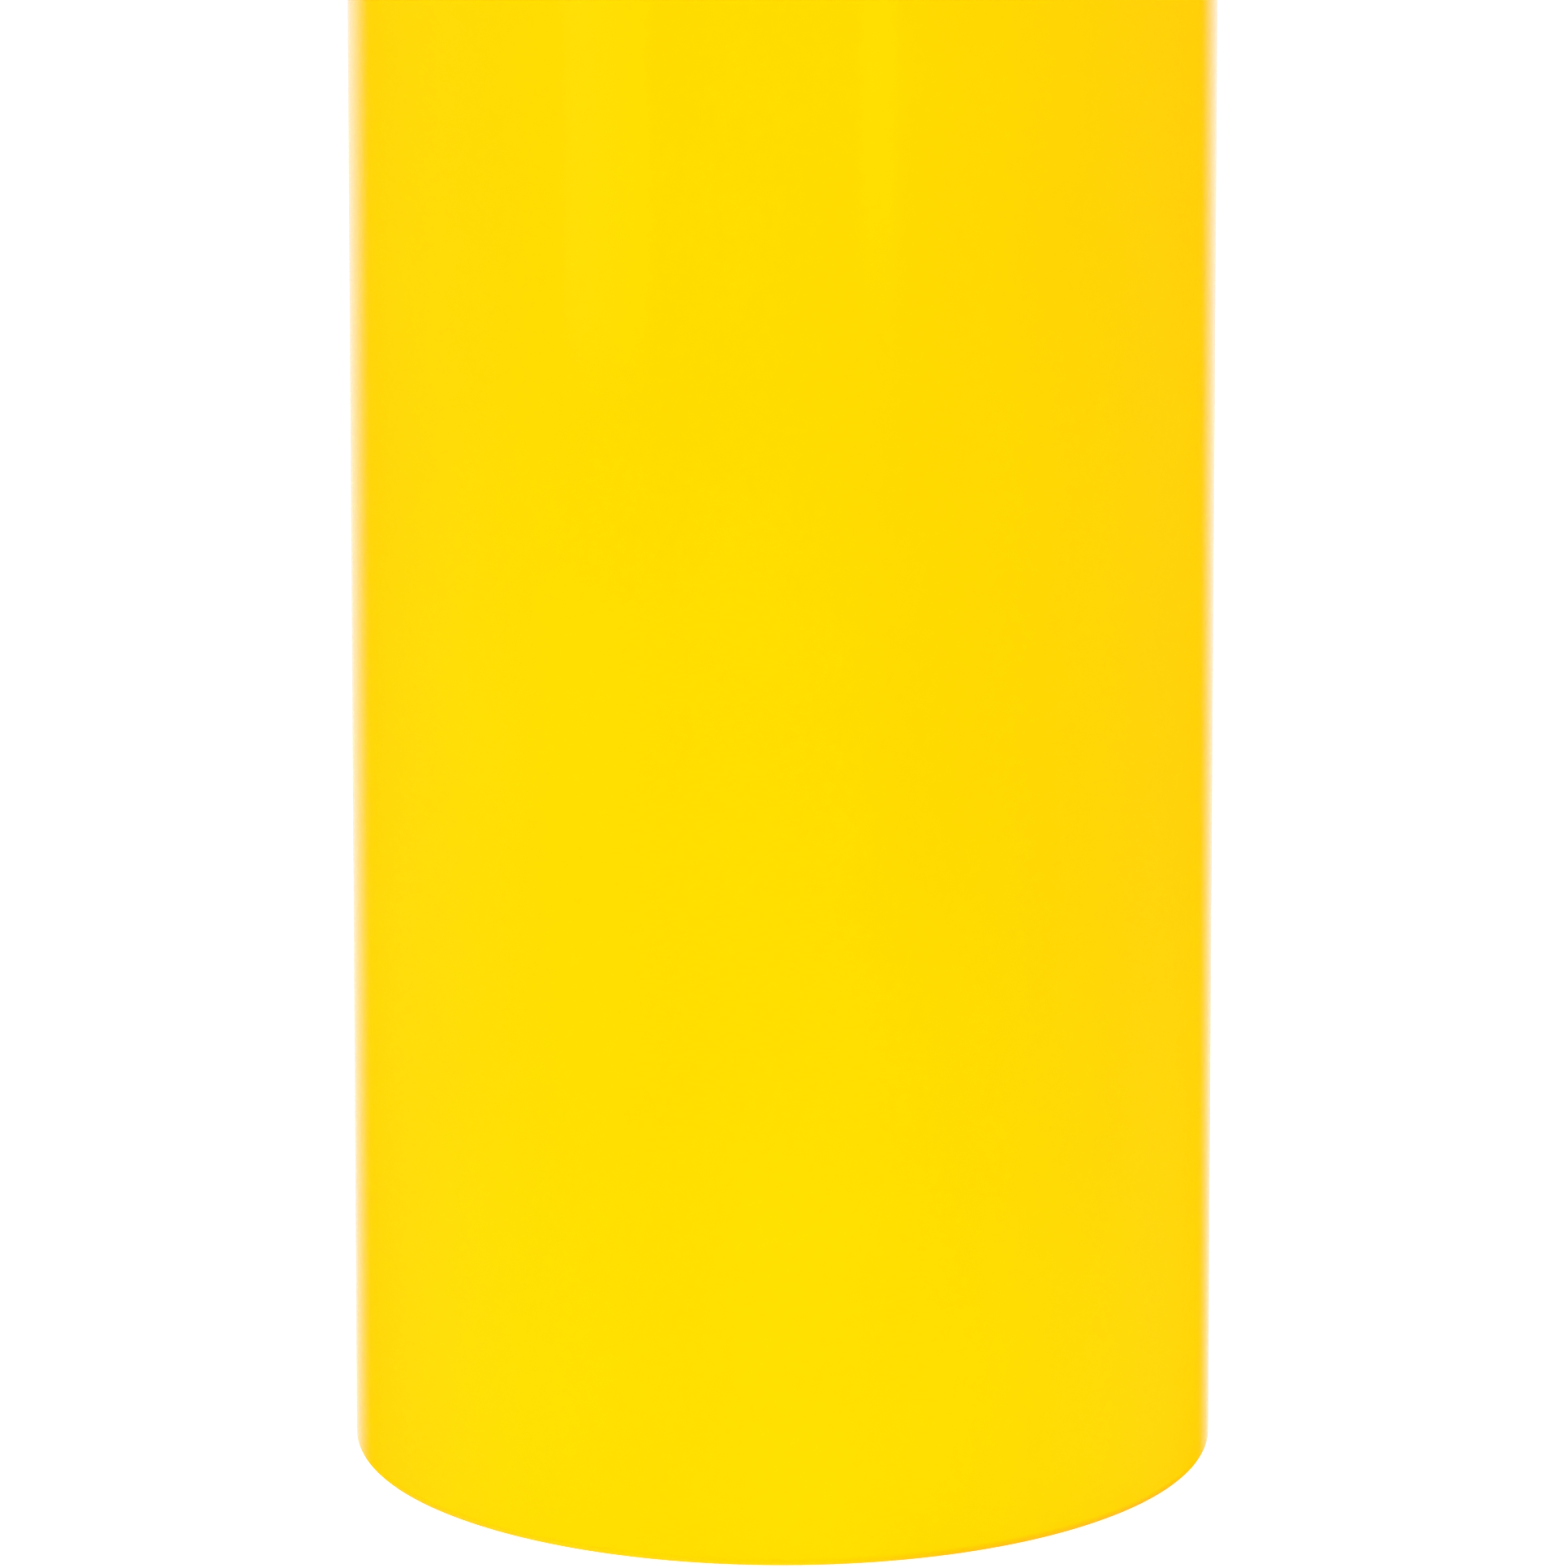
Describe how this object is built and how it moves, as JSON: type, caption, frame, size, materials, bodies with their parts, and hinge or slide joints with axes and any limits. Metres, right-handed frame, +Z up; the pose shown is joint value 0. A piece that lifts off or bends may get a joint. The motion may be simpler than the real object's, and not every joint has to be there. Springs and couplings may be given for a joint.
{
  "type": "steel safety bollard",
  "caption": "Round powder-coated steel pipe bollard for casting into concrete, with anchor bars across its bore, open chain slots in its rim and a lift-off domed cap.",
  "frame": {"origin": "centre of the pipe's cut foot, in the plane of the end face", "axes": "+Z up the pipe's axis, +X and -X through the chain slots, -Y is the front"},
  "size_m": [0.1156, 0.1156, 1.2345],
  "materials": {
    "powder_coat": "semi-gloss safety yellow powder coat with a fine orange peel",
    "mill_steel": "bare hot-rolled bar with mill scale",
    "weld_steel": "bare weld metal",
    "cap_plastic": "black, fine moulded grain",
    "rubber": "black, matt"
  },
  "bodies": {
    "post": {"post_tube": "powder_coat", "anchor_bar_lower": "mill_steel", "anchor_bar_upper": "mill_steel", "anchor_weld_lower_a": "weld_steel", "anchor_weld_lower_b": "weld_steel", "anchor_weld_upper_a": "weld_steel", "anchor_weld_upper_b": "weld_steel"},
    "cap": {"cap_body": "cap_plastic", "cap_grip_ring_upper": "rubber", "cap_grip_ring_lower": "rubber"}
  },
  "joints": [
    {"name": "cap_lift", "type": "slide", "parent": "post", "child": "cap", "axis": [0, 0, 1], "range_m": [0, 0.1]}
  ]
}
